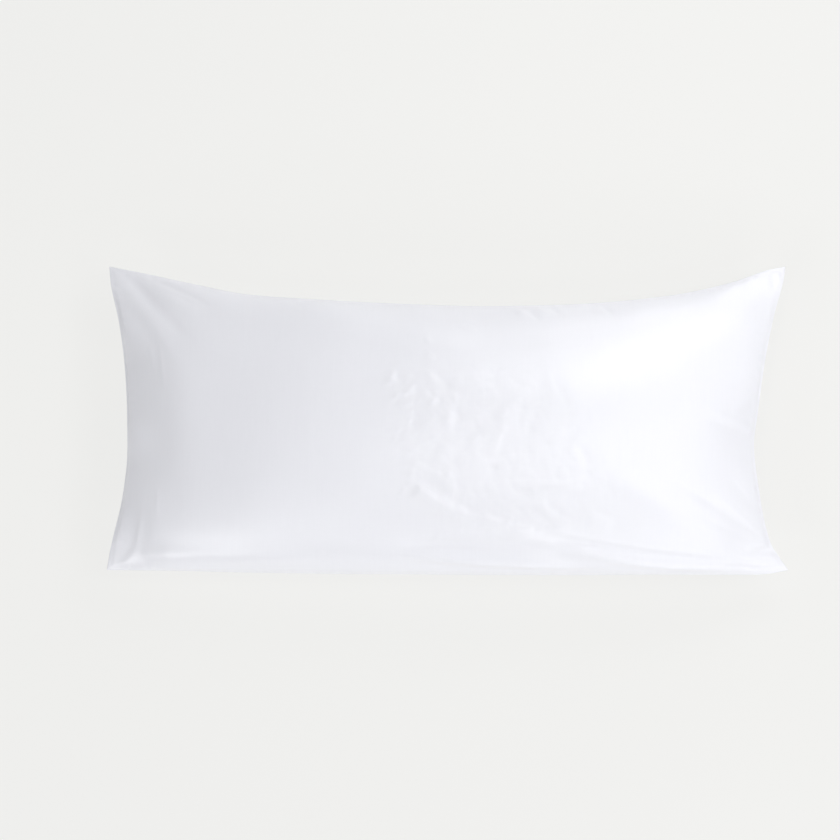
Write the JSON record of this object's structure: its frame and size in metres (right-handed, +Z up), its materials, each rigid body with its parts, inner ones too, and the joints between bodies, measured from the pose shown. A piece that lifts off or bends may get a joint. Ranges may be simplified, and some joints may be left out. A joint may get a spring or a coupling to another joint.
{
  "type": "filled pillowcase",
  "caption": "Long white satin pillowcase on its pillow, lying on its back, with a crowned front, drawn-in edges and flat pointed corners.",
  "frame": {"origin": "under the middle of the case's box, on the surface that it lies on", "axes": "+X along the length, +Y from the lower long edge to the upper one, +Z up from the surface through the crown"},
  "size_m": [0.99, 0.4552, 0.1756],
  "materials": {
    "satin": "white satin weave with a soft sheen"
  },
  "bodies": {
    "root": {"pillowcase": "satin"}
  },
  "joints": []
}
